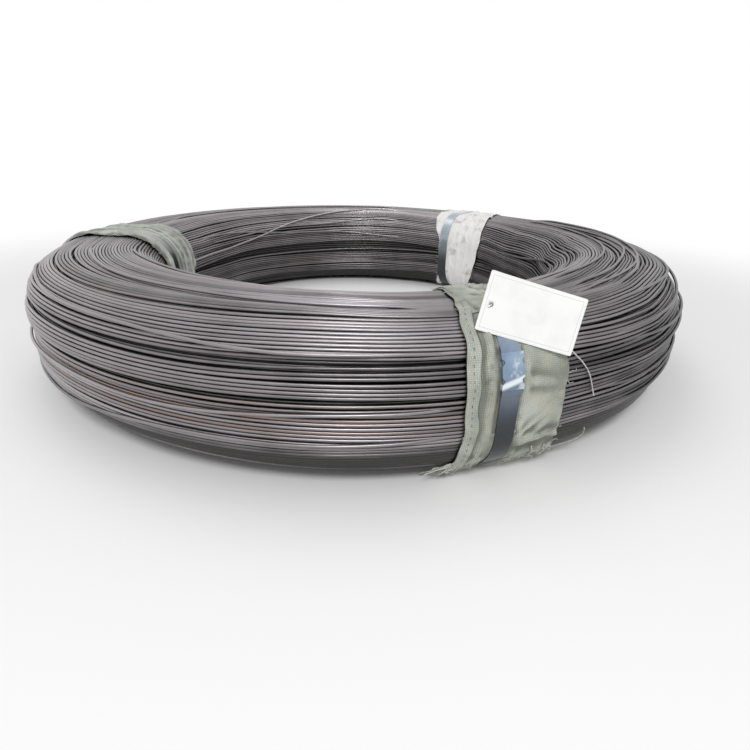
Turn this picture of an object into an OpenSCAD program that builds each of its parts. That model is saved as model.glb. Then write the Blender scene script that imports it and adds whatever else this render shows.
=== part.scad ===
// Coil of cold drawn stainless steel wire, lying flat and tied in three places.
// Each tie is a blued steel strap with a crimped seal, drawn tight over a cloth pad.
// A card tag leans on the front tie and hangs on a thin binding wire.
// Lengths are millimetres, +Z is up, and the coil's axis is Z.
// Tie angles count from the front, which is -Y, towards the right, which is +X.

/* [Coil] */
// Inside diameter of the coil
bore_d = 600; // [350:5:900]
// Radial build of the bundle, from the bore to the outside
build_w = 165; // [130:1:260]
// Height of the bundle as it lies
bundle_h = 153; // [130:1:240]
// Corner radius of the bundle's section
corner_r = 55; // [35:1:62]

/* [Wire] */
// Diameter of the wire
wire_d = 3.5; // [2.5:0.1:6]
// Least gap between neighbouring turns
turn_gap = 0.15; // [0.05:0.05:0.6]

/* [Tie places] */
// Angle of the front tie
front_angle = 16; // [8:1:28]
// Angle of the back tie
back_angle = 143; // [125:1:160]
// Angle of the left tie
left_angle = 274; // [250:1:290]

/* [Straps] */
// Width of the steel strap
strap_w = 19; // [12:0.5:32]
// Thickness of the steel strap
strap_t = 0.8; // [0.5:0.1:1.3]
// Length over which the strap's two ends overlap
lap_l = 44; // [40:1:54]

/* [Seals] */
// Length of a seal along the strap
seal_l = 32; // [22:1:40]
// Thickness of the seal's sheet
seal_t = 0.8; // [0.5:0.1:1]
// Angle of the seal's middle up the bundle's upper outer bend
seal_angle = 17; // [5:1:25]
// Length of each leg folded behind the strap
seal_leg = 5; // [3:0.5:5.5]
// Depth of the crimp notches in the seal's edges
notch_d = 2.4; // [1:0.1:3]

/* [Pads] */
// Thickness of the folded cloth
pad_t = 1.6; // [1.3:0.1:3]
// Width of the front pad
front_pad_w = 100; // [80:1:120]
// Sideways shift of the front pad on its strap
front_pad_shift = 8; // [-15:1:15]
// Share of the front pad's width that is left at the bore
front_pad_bore_share = 0.5; // [0.4:0.05:1.2]
// Width of the back pad
back_pad_w = 120; // [90:1:140]
// Sideways shift of the back pad on its strap
back_pad_shift = -24; // [-30:1:20]
// Share of the back pad's width that is left at the bore
back_pad_bore_share = 1; // [0.4:0.05:1.2]
// Width of the left pad
left_pad_w = 122; // [90:1:140]
// Sideways shift of the left pad on its strap
left_pad_shift = -14; // [-20:1:20]
// Share of the left pad's width that is left at the bore
left_pad_bore_share = 0.95; // [0.4:0.05:1.2]

/* [Tag] */
// Length of the card tag
tag_w = 90; // [70:1:110]
// Height of the card tag
tag_h = 50; // [40:1:65]
// Thickness of the card
tag_t = 0.5; // [0.3:0.1:1]
// Corner radius of the card
tag_corner_r = 1.5; // [0.5:0.1:4]
// Diameter of the punched hole
tag_hole_d = 4; // [3:0.1:6]
// Distance of the hole's middle from the card's short edge
tag_hole_inset = 8; // [6:0.5:12]
// Angle by which the card is turned away from its strap
tag_turn_angle = -9; // [-12:1:-4]
// Angle by which the card leans back
tag_lean_angle = 17.5; // [12:0.5:24]
// Angle by which the card is rolled in its own plane
tag_roll_angle = 17; // [8:0.5:22]
// Distance of the resting point from the card's middle, along its lower edge
tag_rest_x = 14; // [8:1:20]

/* [Binding wire] */
// Diameter of the tag's binding wire
tie_d = 1.2; // [0.8:0.1:1.6]
// Height of the wire's free end above the middle of the bundle
tie_end_rise = -4; // [-20:1:6]

/* [Hidden] */
// Clearance between one layer of a tie and the next
layer_gap = 0.2;
// Clearance of a seal round the strap and of the binding wire round everything
fit_gap = 0.25;
// Overrun of cuts and slabs
over = 5;
// Depth of the grooves between the turns
groove_d = 0.27 * wire_d;
// Sides of a turn's outline
turn_sides = 8;

bore_r = bore_d / 2;
outer_r = bore_r + build_w;
mid_r = bore_r + build_w / 2;
wire_r = wire_d / 2;

// Layers of a tie, counted outwards from the crests of the turns
pad_in = layer_gap;
pad_out = pad_in + pad_t;
strap_in = pad_out + layer_gap;
strap_out = strap_in + strap_t;
lap_out = strap_out + strap_t;

// The straps' undersides stand on the floor, so the bundle lies this much above it
base_z = strap_out;
mid_z = base_z + bundle_h / 2;

// Turns along one straight side and round one corner of the section
pitch = wire_d + turn_gap;
flat_w = build_w - 2 * corner_r;
flat_h = bundle_h - 2 * corner_r;
bend_r = corner_r - wire_r;
top_turns = floor(flat_w / pitch);
side_turns = floor(flat_h / pitch);
bend_turns = floor(bend_r * PI / 2 / pitch);

// Layers of a seal, counted the same way: its legs behind the strap and its plate over the lap
leg_out = strap_in - fit_gap;
leg_in = leg_out - seal_t;
plate_in = lap_out + fit_gap;
plate_out = plate_in + seal_t;
seal_w = strap_w + 2 * (fit_gap + seal_t);

// Half the angle that the seal and the lap take up on the bend
strap_bend_r = corner_r + strap_out;
seal_half_angle = seal_l / 2 / strap_bend_r * 180 / PI;
lap_half_angle = lap_l / 2 / strap_bend_r * 180 / PI;
// Angle by which cuts run past the seal's ends
cut_angle = 3;

steel = [0.55, 0.53, 0.52];
blued = [0.24, 0.28, 0.38];
khaki = [0.62, 0.61, 0.53];
white_cloth = [0.78, 0.78, 0.76];
grey_cloth = [0.45, 0.46, 0.42];
card = [0.95, 0.95, 0.93];
zinc = [0.72, 0.73, 0.74];

// Rounded rectangle about the section's middle, standing off the crests by grow
module section(grow) {
    r = corner_r + grow;
    translate([mid_r, mid_z]) {
        square([flat_w, bundle_h + 2 * grow], center = true);
        square([build_w + 2 * grow, flat_h], center = true);
        for (sx = [-1, 1], sz = [-1, 1])
            translate([sx * flat_w / 2, sz * flat_h / 2])
                circle(r = r, $fn = 96);
    }
}

// One turn of wire in section, as an eight-sided outline with a flat on its crest
module turn() {
    rotate(180 / turn_sides)
        circle(r = wire_r / cos(180 / turn_sides), $fn = turn_sides);
}

// The outermost turns of the bundle, along its four sides and round its four bends
module turns() {
    for (i = [0 : top_turns - 1], side = [-1, 1])
        translate([flat_w * ((i + 0.5) / top_turns - 0.5), side * (flat_h / 2 + bend_r)])
            turn();
    for (i = [0 : side_turns - 1], side = [-1, 1])
        translate([side * (flat_w / 2 + bend_r), flat_h * ((i + 0.5) / side_turns - 0.5)])
            turn();
    for (i = [0 : bend_turns - 1], quarter = [0 : 3])
        let (a = (i + 0.5) * 90 / bend_turns + quarter * 90)
            translate([sign(cos(a)) * flat_w / 2, sign(sin(a)) * flat_h / 2])
                rotate(a)
                    translate([bend_r, 0])
                        turn();
}

// The bundle: a turned solid with its bore, with the outermost turns standing out all round
module wire_coil() {
    color(steel)
        rotate_extrude($fn = 180) {
            section(-groove_d);
            translate([mid_r, mid_z])
                turns();
        }
}

// Points +X outwards through a tie
module at_tie(angle) {
    rotate([0, 0, angle - 90])
        children();
}

// What lies within a slab across the bundle, of one width all round it
module across_bundle(w, shift) {
    intersection() {
        rotate_extrude($fn = 180)
            children();
        translate([bore_r - corner_r, shift - w / 2, -over])
            cube([build_w + 2 * corner_r, w, bundle_h + 2 * corner_r]);
    }
}

// Share of a pad's width at a distance from the coil's axis
function pad_share(bore_share, rho) = bore_share + (1 - bore_share) * (rho - bore_r) / build_w;

// What lies within a pad's outline from above, which may narrow from the outside to the bore
module across_pad(w, shift, bore_share) {
    near = bore_r - corner_r;
    far = outer_r + corner_r;
    intersection() {
        rotate_extrude($fn = 180)
            children();
        translate([0, 0, -over])
            linear_extrude(bundle_h + 2 * corner_r)
                polygon([for (p = [[near, -1], [far, -1], [far, 1], [near, 1]])
                    [p[0], pad_share(bore_share, p[0]) * (shift + p[1] * w / 2)]]);
    }
}

// Sheet of the section between two layers
module layer(inside, outside) {
    difference() {
        section(outside);
        section(inside);
    }
}

// What lies within an angle of the seal's middle, seen from the centre of the upper outer bend
module near_seal(half_angle) {
    reach = 2 * corner_r;
    intersection() {
        children();
        translate([mid_r + flat_w / 2, mid_z + flat_h / 2])
            rotate(seal_angle)
                polygon([[0, 0], [reach, -reach * tan(half_angle)], [reach, reach * tan(half_angle)]]);
    }
}

// Cloth wrapped once round the bundle, pressed in where the seal's legs lie
module pad(angle, w, shift, bore_share, tint) {
    color(tint)
        at_tie(angle)
            difference() {
                across_pad(w, shift, bore_share)
                    layer(pad_in, pad_out);
                across_bundle(seal_w + 2 * fit_gap, 0)
                    near_seal(seal_half_angle + cut_angle)
                        layer(leg_in - fit_gap, strap_in);
            }
}

// Strap drawn round the pad, with its end lying over its start on the outer face
module strap(angle) {
    color(blued)
        at_tie(angle)
            across_bundle(strap_w, 0)
                difference() {
                    union() {
                        section(strap_out);
                        near_seal(lap_half_angle)
                            section(lap_out);
                    }
                    section(strap_in);
                }
}

// Crimped seal: a sheet folded round both ends of the strap, notched at its edges
module seal(angle) {
    notch_w = seal_l / 5;
    color(blued)
        at_tie(angle)
            difference() {
                across_bundle(seal_w, 0)
                    near_seal(seal_half_angle)
                        layer(leg_in, plate_out);
                // Space for the two ends of the strap
                across_bundle(seal_w - 2 * seal_t, 0)
                    near_seal(seal_half_angle + cut_angle)
                        layer(leg_out, plate_in);
                // Opening between the two legs behind the strap
                across_bundle(seal_w - 2 * (seal_t + seal_leg), 0)
                    near_seal(seal_half_angle + cut_angle)
                        layer(leg_in - seal_t, leg_out + fit_gap);
                // Crimp notches
                for (side = [-1, 1], end = [-1, 1])
                    translate([outer_r - corner_r, side * seal_w / 2, mid_z + flat_h / 2])
                        rotate([0, -seal_angle - end * seal_half_angle / 2, 0])
                            translate([corner_r - over, 0, 0])
                                rotate([0, 90, 0])
                                    linear_extrude(plate_out + 2 * over)
                                        polygon([[-notch_w / 2, side * over], [-notch_w / 2, 0],
                                                 [-notch_w / 6, -side * notch_d], [notch_w / 6, -side * notch_d],
                                                 [notch_w / 2, 0], [notch_w / 2, side * over]]);
            }
}

// Point outside the bundle's upper outer shoulder, at an angle round the axis and up the bend
function on_shoulder(angle, bend_angle, off) =
    let (rho = outer_r - corner_r + (corner_r + off) * cos(bend_angle))
    [rho * sin(angle), -rho * cos(angle), mid_z + flat_h / 2 + (corner_r + off) * sin(bend_angle)];

// Point outside the bundle's straight outer face, above the section's middle by rise
function on_face(angle, rise, off) =
    [(outer_r + off) * sin(angle), -(outer_r + off) * cos(angle), mid_z + rise];

// The card's own directions: along its length, up its height and out of its face
tag_angle = front_angle + tag_turn_angle;
tag_level = [cos(tag_angle), sin(tag_angle), 0];
tag_out = [sin(tag_angle) * cos(tag_lean_angle), -cos(tag_angle) * cos(tag_lean_angle), sin(tag_lean_angle)];
tag_rising = cross(tag_out, tag_level);
tag_x = cos(tag_roll_angle) * tag_level - sin(tag_roll_angle) * tag_rising;
tag_y = sin(tag_roll_angle) * tag_level + cos(tag_roll_angle) * tag_rising;

// The card's lower edge rests on the strap just above the lap, all across the strap
rest_margin_angle = 3;
edge_drop = strap_w / 2 * sin(tag_roll_angle);
tag_rest_angle = seal_angle + lap_half_angle + edge_drop / strap_bend_r * 180 / PI + rest_margin_angle;
tag_rest = on_shoulder(front_angle, tag_rest_angle, strap_out + fit_gap);
tag_mid = tag_rest + tag_rest_x * tag_x + tag_h / 2 * tag_y;
tag_hole_y = -tag_h / 25;
tag_hole = tag_mid - (tag_w / 2 - tag_hole_inset) * tag_x + tag_hole_y * tag_y;

// Card tag with rounded corners and a punched hole; its back face is the one that rests
module tag_card() {
    color(card)
        multmatrix([[tag_x[0], tag_y[0], tag_out[0], tag_mid[0]],
                    [tag_x[1], tag_y[1], tag_out[1], tag_mid[1]],
                    [tag_x[2], tag_y[2], tag_out[2], tag_mid[2]]])
            linear_extrude(tag_t)
                difference() {
                    union() {
                        square([tag_w - 2 * tag_corner_r, tag_h], center = true);
                        square([tag_w, tag_h - 2 * tag_corner_r], center = true);
                        for (sx = [-1, 1], sy = [-1, 1])
                            translate([sx * (tag_w / 2 - tag_corner_r), sy * (tag_h / 2 - tag_corner_r)])
                                circle(r = tag_corner_r, $fn = 32);
                    }
                    translate([tag_hole_inset - tag_w / 2, tag_hole_y])
                        circle(d = tag_hole_d, $fn = 32);
                }
}

// The binding wire's route: hooked through the hole, down behind the card, over the strap and the pad,
// and out past the pad's edge on to the coil
tie_r = tie_d / 2;
tie_off = 2 * fit_gap + tie_r;
hook_l = 2 * tie_d;
hook_off = tag_t + 1.5 * tie_d;
pad_edge = front_angle + asin((front_pad_w / 2 + front_pad_shift) / outer_r);
wire_step = 2 * asin(tie_d / outer_r);
hook_angle = 67;
over_angle = 64;
edge_angle = 28;
down_angle = 14;
step_angle = 2;
face_angle = 3.7;
end_angle = 5.4;
tie_route = concat(
    [tag_hole + hook_off * tag_out - hook_l * tag_x - hook_l * tag_y,
     tag_hole + hook_off * tag_out - hook_l / 4 * tag_x - hook_l / 4 * tag_y,
     tag_hole + tag_t / 2 * tag_out,
     tag_hole - 3 * tie_d * tag_out - hook_l / 4 * tag_y,
     on_shoulder(front_angle - step_angle / 2, hook_angle, strap_out + 4 * tie_d)],
    [for (s = [0 : 0.125 : 1])
        on_shoulder(front_angle + s * (pad_edge + wire_step - front_angle),
                    over_angle + s * (edge_angle - over_angle), strap_out + tie_off)],
    [for (s = [0.4 : 0.3 : 1])
        on_shoulder(pad_edge + wire_step + s * step_angle,
                    edge_angle + s * (down_angle - edge_angle), strap_out * (1 - s) + tie_off)],
    [on_face(pad_edge + face_angle, flat_h / 2, tie_off),
     on_face(pad_edge + end_angle, tie_end_rise, tie_off)]);

// Smooth run through the route's points
function bend_at(p, i, t) =
    let (n = len(p) - 1, a = p[max(i - 1, 0)], b = p[i], c = p[i + 1], d = p[min(i + 2, n)])
    (2 * b + (c - a) * t + (2 * a - 5 * b + 4 * c - d) * t * t + (3 * b - a - 3 * c + d) * t * t * t) / 2;
function smooth(p, steps) =
    concat([for (i = [0 : len(p) - 2], s = [0 : steps - 1]) bend_at(p, i, s / steps)], [p[len(p) - 1]]);
function unit(v) = v / norm(v);

// Tube of eight sides along a run of points
module tube(path, r) {
    sides = 8;
    n = len(path);
    run = [for (i = [0 : n - 1]) unit(path[min(i + 1, n - 1)] - path[max(i - 1, 0)])];
    up = [for (i = [0 : n - 1]) unit(cross(run[i], tag_x + tag_out))];
    side = [for (i = [0 : n - 1]) cross(run[i], up[i])];
    polyhedron(
        points = [for (i = [0 : n - 1], k = [0 : sides - 1])
            path[i] + r * (cos(k * 360 / sides) * up[i] + sin(k * 360 / sides) * side[i])],
        faces = concat(
            [[for (k = [0 : sides - 1]) k]],
            [for (i = [0 : n - 2], k = [0 : sides - 1])
                [i * sides + k, (i + 1) * sides + k,
                 (i + 1) * sides + (k + 1) % sides, i * sides + (k + 1) % sides]],
            [[for (k = [sides - 1 : -1 : 0]) (n - 1) * sides + k]]));
}

module tag_wire() {
    color(zinc)
        tube(smooth(tie_route, 3), tie_r);
}

module pad_front() {
    pad(front_angle, front_pad_w, front_pad_shift, front_pad_bore_share, khaki);
}

module pad_back() {
    pad(back_angle, back_pad_w, back_pad_shift, back_pad_bore_share, white_cloth);
}

module pad_left() {
    pad(left_angle, left_pad_w, left_pad_shift, left_pad_bore_share, grey_cloth);
}

module strap_front() {
    strap(front_angle);
}

module strap_back() {
    strap(back_angle);
}

module strap_left() {
    strap(left_angle);
}

module seal_front() {
    seal(front_angle);
}

module seal_back() {
    seal(back_angle);
}

module seal_left() {
    seal(left_angle);
}

wire_coil();
pad_front();
pad_back();
pad_left();
strap_front();
strap_back();
strap_left();
seal_front();
seal_back();
seal_left();
tag_card();
tag_wire();
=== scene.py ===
import math
import bpy
import numpy as np
from mathutils import Matrix, Vector


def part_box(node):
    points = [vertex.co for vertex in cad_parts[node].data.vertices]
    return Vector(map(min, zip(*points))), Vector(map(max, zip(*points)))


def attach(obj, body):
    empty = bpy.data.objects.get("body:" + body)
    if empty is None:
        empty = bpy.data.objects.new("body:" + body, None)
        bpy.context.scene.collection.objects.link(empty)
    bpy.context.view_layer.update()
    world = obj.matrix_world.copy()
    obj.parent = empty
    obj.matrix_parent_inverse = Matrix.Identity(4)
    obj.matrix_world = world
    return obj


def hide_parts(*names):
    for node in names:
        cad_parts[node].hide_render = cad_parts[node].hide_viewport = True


# A coil of drawn steel wire, tied with steel straps over cloth pads and marked with a card tag.
# Lengths are millimetres until a mesh is made, and angles are degrees from the front towards the right.

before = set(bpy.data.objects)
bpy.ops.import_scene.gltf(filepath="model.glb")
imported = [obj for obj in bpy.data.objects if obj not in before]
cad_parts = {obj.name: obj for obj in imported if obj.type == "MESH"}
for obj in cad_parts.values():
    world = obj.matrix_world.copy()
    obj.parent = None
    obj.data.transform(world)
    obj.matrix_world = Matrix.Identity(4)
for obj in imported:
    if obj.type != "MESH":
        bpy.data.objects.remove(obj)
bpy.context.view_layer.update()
MM = 0.001

# The bundle's section, as the frame has it
coil_low, coil_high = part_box("wire_coil")
OUTER_R = coil_high.x / MM
BASE_Z = coil_low.z / MM
BUNDLE_H = (coil_high.z - coil_low.z) / MM
BUILD_W = 165
CORNER_R = 55
WIRE_D = 3.5
WIRE_R = WIRE_D / 2
MID_R = OUTER_R - BUILD_W / 2
MID_Z = BASE_Z + BUNDLE_H / 2
HALF_W = BUILD_W / 2 - CORNER_R
HALF_H = BUNDLE_H / 2 - CORNER_R
BEND_R = CORNER_R - WIRE_R
BEND_L = BEND_R * math.pi / 2

# The line through the outermost turns' middles, from the bottom outwards and up, as straight runs and bends
RUNS = [HALF_W, BEND_L, 2 * HALF_H, BEND_L, 2 * HALF_W, BEND_L, 2 * HALF_H, BEND_L, HALF_W]
KNOT_S = np.concatenate([[0], np.cumsum(RUNS)])
KNOT_X = HALF_W * np.array([0, 1, 1, 1, 1, -1, -1, -1, -1, 0])
KNOT_Z = HALF_H * np.array([-1, -1, -1, 1, 1, 1, 1, -1, -1, -1])
KNOT_TURN = np.array([-90, -90, 0, 0, 90, 90, 180, 180, 270, 270])
PERIMETER = KNOT_S[-1]
S_INNER = (KNOT_S[6] + KNOT_S[7]) / 2

# Ties: angle, and the pad's width and shift along the coil
TIES = {"front": (16, 100, 8), "back": (143, 120, -24), "left": (274, 122, -14)}
STRAP_W = 19
# Seals: width, and their middle and half length as angles of the section
SEAL_W = 21.1
SEAL_TURN = 17
SEAL_HALF_TURN = 19


# Helpers

def smooth(x):
    x = np.clip(x, 0, 1)
    return x * x * (3 - 2 * x)


def step(x, start, run):
    """0 up to start, 1 from run past it, smooth between."""
    return smooth((x - start) / run)


def hump(x, width):
    """1 where x is 0, falling off on both sides as a bell does."""
    return np.exp(-(x / width) ** 2)


def near(x, middle, half):
    """1 at the middle, 0 from half away, smooth between."""
    return smooth(1 - np.abs(x - middle) / half)


def apart(angle, middle):
    """Degrees between two directions."""
    return np.abs((np.asarray(angle) - middle + 180) % 360 - 180)


def bump(angle, middle, half):
    """As near, on a circle of degrees."""
    return near(apart(angle, middle), 0, half)


def waves(x, rng, lengths):
    """Sum of waves of these lengths with random phases, within about 1."""
    parts = [np.sin(2 * math.pi * np.asarray(x) / length + rng.uniform(0, 2 * math.pi)) for length in lengths]
    return sum(parts) / math.sqrt(len(lengths))


def eased(line, reach):
    """Weighted mean of a line over reach on each side, which leaves out that much at both its ends."""
    window = np.hanning(2 * reach + 3)[1:-1]
    return np.convolve(line, window / window.sum(), "valid")


def turned(*turns):
    """Matrix of turns, in degrees about axes, of which the last is made first."""
    made = Matrix()
    for degrees, axis in turns:
        made = made @ Matrix.Rotation(math.radians(degrees), 4, axis)
    return made


def new_object(name, data):
    made = bpy.data.objects.new(name, data)
    bpy.context.scene.collection.objects.link(made)
    return made


def mesh_object(name, points, faces, finish, uv=None, **marks):
    """Object from points in millimetres and lists of faces, smooth shaded, riding on the one body.
    The marks are values for each point, which materials read by name."""
    mesh = bpy.data.meshes.new(name)
    polygons = [polygon for block in faces for polygon in block.tolist()]
    mesh.from_pydata((points * MM).tolist(), [], polygons, shade_flat=False)
    for mark, values in marks.items():
        mesh.attributes.new(mark, "FLOAT", "POINT").data.foreach_set("value", np.asarray(values, np.float32))
    if uv is not None:
        corners = np.concatenate([block.ravel() for block in faces])
        layer = mesh.uv_layers.new(name="UVMap")
        layer.data.foreach_set("uv", uv[corners].astype(np.float32).ravel())
    mesh.materials.append(finish)
    piece = new_object(name, mesh)
    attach(piece, "root")
    return piece


def grid_faces(rows, columns, wrap=False):
    """Quads of a grid of points, closed round its columns where wrap is set."""
    across = columns if wrap else columns - 1
    i, j = np.meshgrid(np.arange(rows - 1), np.arange(across), indexing="ij")
    k = (j + 1) % columns
    quads = np.stack([i * columns + j, i * columns + k, (i + 1) * columns + k, (i + 1) * columns + j], -1)
    return quads.reshape(-1, 4)


def tube(path, outward, radius, sides):
    """Points and faces of a closed tube along a path, with one side of it turned outward."""
    run = np.gradient(path, axis=0)
    run /= np.linalg.norm(run, axis=1, keepdims=True)
    up = outward - np.sum(outward * run, axis=1, keepdims=True) * run
    up /= np.linalg.norm(up, axis=1, keepdims=True)
    side = np.cross(run, up)
    turn = np.arange(sides) * 2 * math.pi / sides
    ring = np.cos(turn)[None, :, None] * up[:, None] + np.sin(turn)[None, :, None] * side[:, None]
    points = path[:, None] + np.broadcast_to(radius, len(path))[:, None, None] * ring
    last = (len(path) - 1) * sides
    caps = [np.arange(sides)[::-1], last + np.arange(sides)]
    return points.reshape(-1, 3), grid_faces(len(path), sides, wrap=True), np.array(caps)


def joined(parts):
    """Several tubes as one list of points and faces."""
    points, quads, caps, at = [], [], [], 0
    for part_points, part_quads, part_caps in parts:
        points.append(part_points)
        quads.append(part_quads + at)
        caps.append(part_caps + at)
        at += len(part_points)
    return np.concatenate(points), [np.concatenate(quads), np.concatenate(caps)]


def rim(rows, columns):
    """Numbers of the points round the outside of a grid."""
    index = np.arange(rows * columns).reshape(rows, columns)
    return np.concatenate([index[0], index[1:, -1], index[-1, -2::-1], index[-2:0:-1, 0]])


def wall(loop, count):
    """Quads between a loop of points and its copy, whose numbers are higher by count."""
    after = np.roll(loop, -1)
    return np.stack([loop, loop + count, after + count, after], -1)


def shell(outer, inner):
    """Points and faces of a thin closed sheet between two grids."""
    rows, columns = outer.shape[:2]
    count = rows * columns
    top = grid_faces(rows, columns)
    faces = np.concatenate([top, top[:, ::-1] + count, wall(rim(rows, columns), count)])
    return np.concatenate([outer.reshape(-1, 3), inner.reshape(-1, 3)]), [faces]


# Shape of the bundle between and under its ties

SWELL = 0.020
RIGHT_SWELL = 0.022
RIGHT_MIDDLE = 82
RIGHT_HALF = 50
UNDER_SIZE = 1.006
# How far past a pad the bundle is still held, and how far it takes to be free, in degrees
PAD_MARGIN = 2
LET_GO = 15


def tightness(angle):
    """1 under the pads, falling to 0 where the bundle is free to swell."""
    held = np.zeros_like(np.asarray(angle, float))
    for tie, width, shift in TIES.values():
        middle = tie + math.degrees(shift / MID_R)
        half = math.degrees(width / 2 / MID_R) + PAD_MARGIN
        held = np.maximum(held, 1 - smooth((apart(angle, middle) - half) / LET_GO))
    return held


def swell(angle):
    loose = SWELL + RIGHT_SWELL * bump(angle, RIGHT_MIDDLE, RIGHT_HALF)
    return 1 + loose * (1 - tightness(angle))


def bundle(s, out, angle):
    """Points on the bundle: s along the section, out from the outermost turns' middles, angle round the coil.
    Gives the points and the directions out of the bundle there."""
    s = np.mod(s, PERIMETER)
    turn = np.radians(np.interp(s, KNOT_S, KNOT_TURN))
    size = swell(angle)
    rho = MID_R + size * (np.interp(s, KNOT_S, KNOT_X) + (BEND_R + out) * np.cos(turn))
    above = np.interp(s, KNOT_S, KNOT_Z) + (BEND_R + out) * np.sin(turn)
    # The floor keeps the underside from swelling
    z = MID_Z + np.where(above > 0, size, np.minimum(size, UNDER_SIZE)) * above
    round_it = np.radians(angle)
    points = np.stack([rho * np.sin(round_it), -rho * np.cos(round_it), z], -1)
    outward = np.stack([np.cos(turn) * np.sin(round_it), -np.cos(turn) * np.cos(round_it), np.sin(turn)], -1)
    return points, outward


# Camera, fitted to the photograph

CAMERA_PLACE = (0, -802.7, 283.1)
CAMERA_PITCH = 25.488
CAMERA_YAW = 2.131
CAMERA_ROLL = -1.2626
FOCAL_PX = 475.43
FRAME_PX = 750
SENSOR_W = 36


def add_camera():
    data = bpy.data.cameras.new("camera")
    data.sensor_width = SENSOR_W
    data.lens = SENSOR_W * FOCAL_PX / FRAME_PX
    camera = new_object("camera", data)
    way = turned((-CAMERA_YAW, "Z"), (90 - CAMERA_PITCH, "X"), (-CAMERA_ROLL, "Z"))
    camera.matrix_world = Matrix.Translation(Vector(CAMERA_PLACE) * MM) @ way
    bpy.context.scene.camera = camera


add_camera()


# Materials

class Nodes:
    """The nodes of a material or of the world. Where a value is asked for, a socket will do."""

    def __init__(self, tree):
        self.tree = tree

    def put(self, value, socket):
        if isinstance(value, bpy.types.NodeSocket):
            self.tree.links.new(value, socket)
        else:
            socket.default_value = (*value, 1) if socket.type == "RGBA" else value

    def add(self, kind, **settings):
        """A new node, with values for its inputs and its own settings."""
        node = self.tree.nodes.new("ShaderNode" + kind)
        for key, value in settings.items():
            if key in node.inputs:
                self.put(value, node.inputs[key])
            else:
                setattr(node, key, value)
        return node

    def shade(self, values):
        """Values for the shader's own sockets."""
        for key, value in values.items():
            self.put(value, self.tree.nodes["Principled BSDF"].inputs[key])

    def where(self, kind="Object"):
        return self.add("TexCoord").outputs[kind]

    def mark(self, name):
        """One of the values that the mesh has for each point."""
        return self.add("Attribute", attribute_name=name).outputs["Fac"]

    def split(self, vector):
        return self.add("SeparateXYZ", Vector=vector).outputs

    def noise(self, where, scale, detail=3, roughness=0.55):
        node = self.add("TexNoise", Vector=where, Scale=scale, Detail=detail, Roughness=roughness)
        return node.outputs["Fac"]

    def ramp(self, value, *stops):
        """Colour ramp on a value: stops are places and colours."""
        node = self.add("ValToRGB", Fac=value)
        elements = node.color_ramp.elements
        while len(elements) < len(stops):
            elements.new(0.5)
        for element, (place, colour) in zip(elements, stops):
            element.position = place
            element.color = (*colour, 1)
        return node.outputs["Color"]

    def mix(self, amount, first, second, kind="MIX"):
        """An amount of the second colour over the first."""
        node = self.add("Mix", data_type="RGBA", blend_type=kind)
        for place, value in ((0, amount), (6, first), (7, second)):
            self.put(value, node.inputs[place])
        return node.outputs[2]

    def maths(self, operation, *values, clamp=False):
        node = self.add("Math", operation=operation, use_clamp=clamp)
        for socket, value in zip(node.inputs, values):
            self.put(value, socket)
        return node.outputs[0]

    def times(self, first, second, clamp=False):
        return self.maths("MULTIPLY", first, second, clamp=clamp)

    def line(self, value, slope, start, clamp=False):
        """The value times slope, plus start."""
        return self.maths("MULTIPLY_ADD", value, slope, start, clamp=clamp)

    def cut(self, value, slope, start):
        """As line, but kept between 0 and 1."""
        return self.line(value, slope, start, clamp=True)

    def fade(self, value, low, high, first=0, last=1):
        """From first, where the value is low, smoothly to last, where it is high."""
        node = self.add("MapRange", interpolation_type="SMOOTHSTEP", Value=value)
        for key, limit in zip(("From Min", "From Max", "To Min", "To Max"), (low, high, first, last)):
            node.inputs[key].default_value = limit
        return node.outputs[0]

    def relief(self, height, strength, distance):
        node = self.add("Bump", Height=height, Strength=strength, Distance=distance)
        self.shade({"Normal": node.outputs["Normal"]})


def material(name):
    """A new material and its nodes."""
    made = bpy.data.materials.new(name)
    made.use_nodes = True
    return made, Nodes(made.node_tree)


WIRE_DARK = (0.07, 0.068, 0.067)
WIRE_MID = (0.262, 0.245, 0.255)
WIRE_LIGHT = (0.41, 0.386, 0.40)
WIRE_WARM = (0.27, 0.195, 0.165)


def drawn_wire():
    """Satin drawn steel: each turn has its own tone, with dull and warm patches along it."""
    made, look = material("drawn_wire")
    where = look.where()
    patches = look.noise(where, scale=22, detail=4)
    fine = look.noise(where, scale=260)
    level = look.maths("ADD", look.mark("tone"), look.line(patches, 0.5, -0.25))
    colour = look.ramp(level, (0.0, WIRE_DARK), (0.5, WIRE_MID), (1.0, WIRE_LIGHT))
    clouds = look.cut(look.noise(where, scale=9), 3.0, -1.7)
    warm = look.line(clouds, 0.4, look.mark("warm"))
    # Dark wire stays neutral
    warm = look.times(warm, look.times(level, 2.0, clamp=True), clamp=True)
    rough = look.line(patches, 0.16, look.line(fine, 0.14, 0.21))
    look.shade({"Base Color": look.mix(warm, colour, WIRE_WARM), "Roughness": rough, "Metallic": 1.0})
    look.relief(fine, strength=0.12, distance=0.0002)
    return made


RUBBED = (0.42, 0.44, 0.46)
RUBBED_SHARE = 0.5
# Dark colour that the straps take towards the floor, as painted shade
LOW_SHADE = (0.014, 0.018, 0.017)
LOW_SHADE_SHARE = 0.95
# Colour of the painted highlight on the front seal
GLINT_COLOUR = (0.80, 0.85, 0.88)
GLINT_SPOTS = 0.6
# The painted highlight on the front seal, a slanting bar: its height where x is 0, half of its own height,
# and its slope
GLINT_BAR = (70, 2.4)
GLINT_SLOPE = 0.3


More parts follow.
